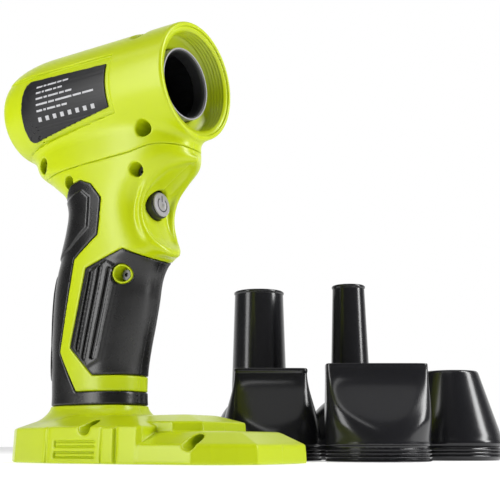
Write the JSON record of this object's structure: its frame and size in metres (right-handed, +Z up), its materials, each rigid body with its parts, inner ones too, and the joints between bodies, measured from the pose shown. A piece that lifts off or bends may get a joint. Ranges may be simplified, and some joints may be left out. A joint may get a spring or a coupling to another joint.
{
  "type": "leaf blower",
  "caption": "Cordless hand-held turbo blower: round barrel on a raked rubber-gripped handle with a slide-on battery foot, and a set of loose screw-on nozzles.",
  "frame": {"origin": "middle of the foot's underside, on the lower face of the terminal block, level with the rim that the tool stands on", "axes": "+X the way the air blows, +Y the tool's left, +Z up out of the foot"},
  "size_m": [0.2127, 0.2345, 0.2235],
  "materials": {
    "lime_shell": "satin injection-moulded, fine spark texture",
    "rubber_grip": "matt soft overmould",
    "black_gloss": "polished",
    "black_plastic": "satin",
    "grey_plastic": "satin",
    "label_film": "satin film",
    "steel": "zinc plated",
    "aluminium": "turned",
    "brass": "bright",
    "circuit_board": "solder mask",
    "red_wire": "silicone"
  },
  "bodies": {
    "tool": {"head_shell_right": "lime_shell", "head_shell_left": "lime_shell", "mouth_ring": "lime_shell", "handle_shell_right": "lime_shell", "handle_shell_left": "lime_shell", "front_grip_right": "rubber_grip", "front_grip_left": "rubber_grip", "rear_grip_right": "rubber_grip", "rear_grip_left": "rubber_grip", "front_duct_damper": "rubber_grip", "rear_duct_damper": "rubber_grip", "side_label_right": "label_film", "side_label_left": "label_film", "outlet_ring": "grey_plastic", "intake_grille": "black_plastic", "vane_carrier": "black_plastic", "motor": "black_plastic", "tact_switch": "black_plastic", "terminal_block": "black_plastic", "battery_wire_negative": "black_plastic", "motor_wire_a": "black_plastic", "motor_wire_b": "black_plastic", "motor_wire_c": "black_plastic", "fan_duct": "aluminium", "screw_barrel_top": "steel", "screw_barrel_front": "steel", "screw_barrel_rear": "steel", "screw_neck_front": "steel", "screw_neck_rear": "steel", "screw_handle": "steel", "screw_foot_rear": "steel", "screw_foot_front": "steel", "terminal_positive": "brass", "terminal_sense": "brass", "terminal_negative": "brass", "control_board": "circuit_board", "battery_wire_positive": "red_wire"},
    "button": {"power_button": "black_plastic", "button_cap": "grey_plastic"},
    "rotor": {"impeller": "black_gloss", "motor_shaft": "steel"},
    "nozzle_wide_tube_body": {"nozzle_wide_tube": "black_gloss"},
    "nozzle_narrow_tube_body": {"nozzle_narrow_tube": "black_gloss"},
    "nozzle_flat_body": {"nozzle_flat": "black_gloss"},
    "nozzle_fishtail_body": {"nozzle_fishtail": "black_gloss"},
    "nozzle_cone_body": {"nozzle_cone": "black_gloss"}
  },
  "joints": [
    {"name": "button_press", "type": "slide", "parent": "tool", "child": "button", "axis": [-0.995, 0, -0.0998], "range_m": [0, 0.0012], "stiffness_N_per_m": 1200, "springref_m": -0.001},
    {"name": "rotor_spin", "type": "hinge", "parent": "tool", "child": "rotor", "pos_m": [-0.05, 0, 0.1925], "axis": [1, 0, 0], "continuous": true},
    {"name": "wide_tube_lift", "type": "slide", "parent": "tool", "child": "nozzle_wide_tube_body", "axis": [0, 0, 1], "range_m": [0, 0.12]},
    {"name": "narrow_tube_lift", "type": "slide", "parent": "tool", "child": "nozzle_narrow_tube_body", "axis": [0, 0, 1], "range_m": [0, 0.12]},
    {"name": "flat_lift", "type": "slide", "parent": "tool", "child": "nozzle_flat_body", "axis": [0, 0, 1], "range_m": [0, 0.12]},
    {"name": "fishtail_lift", "type": "slide", "parent": "tool", "child": "nozzle_fishtail_body", "axis": [0, 0, 1], "range_m": [0, 0.12]},
    {"name": "cone_lift", "type": "slide", "parent": "tool", "child": "nozzle_cone_body", "axis": [0, 0, 1], "range_m": [0, 0.12]}
  ]
}
